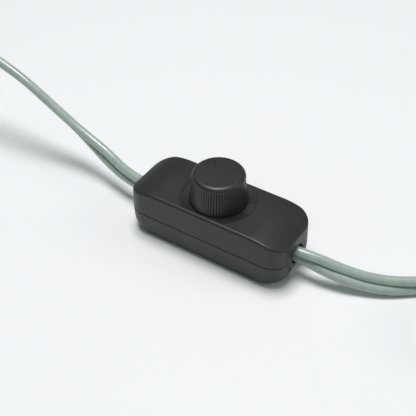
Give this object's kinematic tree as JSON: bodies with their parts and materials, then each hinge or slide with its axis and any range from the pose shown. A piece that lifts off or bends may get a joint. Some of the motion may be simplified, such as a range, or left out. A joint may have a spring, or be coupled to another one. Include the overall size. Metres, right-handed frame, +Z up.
{
  "type": "dimmer switch",
  "caption": "In-line cord dimmer: slim dark two-part housing with a central rotary knob and twin flex leaving each end, with plug and bare lamp end.",
  "frame": {"origin": "middle of the housing's underside, on the surface it lies on", "axes": "+X along the housing towards the lamp end, +Y across it, +Z up along the knob's axis"},
  "size_m": [0.4717, 0.0493, 0.0447],
  "materials": {
    "housing": "fine moulded texture, satin black",
    "knob": "satin black, finely fluted skirt",
    "steel": "zinc plated",
    "brass": "nickel free brass",
    "aluminium": "mill finish",
    "phenolic": "brown laminate",
    "board": "green laminate",
    "black_part": "moulded epoxy",
    "ferrite": "grey ferrite",
    "copper": "enamelled copper",
    "film": "yellow dipped",
    "blue_part": "dipped",
    "resistor": "lacquered",
    "glass": "clear tube",
    "terminal": "ivory",
    "flex": "translucent grey green sheath over tinned strands",
    "tie": "black strap",
    "plug": "satin black",
    "nickel": "nickel plated"
  },
  "bodies": {
    "housing": {"top_shell": "housing", "bottom_shell": "housing", "threaded_bushing": "brass", "bushing_nut": "steel", "bushing_washer": "steel", "resistive_track": "phenolic", "control_case": "steel", "rotary_switch": "phenolic", "control_pins": "steel", "circuit_board": "board", "triac": "black_part", "heat_sink": "aluminium", "choke_core": "ferrite", "choke_winding": "copper", "film_capacitor": "film", "timing_capacitor": "blue_part", "fuse": "glass", "resistors": "resistor", "diac": "blue_part", "input_terminal_block": "terminal", "output_terminal_block": "terminal", "terminal_screws": "steel", "input_conductors": "copper", "output_conductors": "copper", "input_cord_clamp": "black_part", "output_cord_clamp": "black_part", "clamp_screws": "steel", "cover_screws": "steel", "input_cord": "flex", "input_hank": "flex", "input_tail": "flex", "input_hank_ties": "tie", "plug_body": "plug", "plug_pins": "nickel", "plug_pin_sleeves": "tie", "output_cord": "flex", "output_hank": "flex", "output_tail": "flex", "output_hank_ties": "tie", "lamp_core_ends": "flex", "wire_ferrules": "nickel"},
    "knob": {"control_knob": "knob", "knob_shaft": "aluminium", "wiper_disc": "phenolic"}
  },
  "joints": [
    {"name": "knob_turn", "type": "hinge", "parent": "housing", "child": "knob", "pos_m": [0, 0, 0.0214], "axis": [0, 0, 1], "range_deg": [-196, 104]}
  ]
}
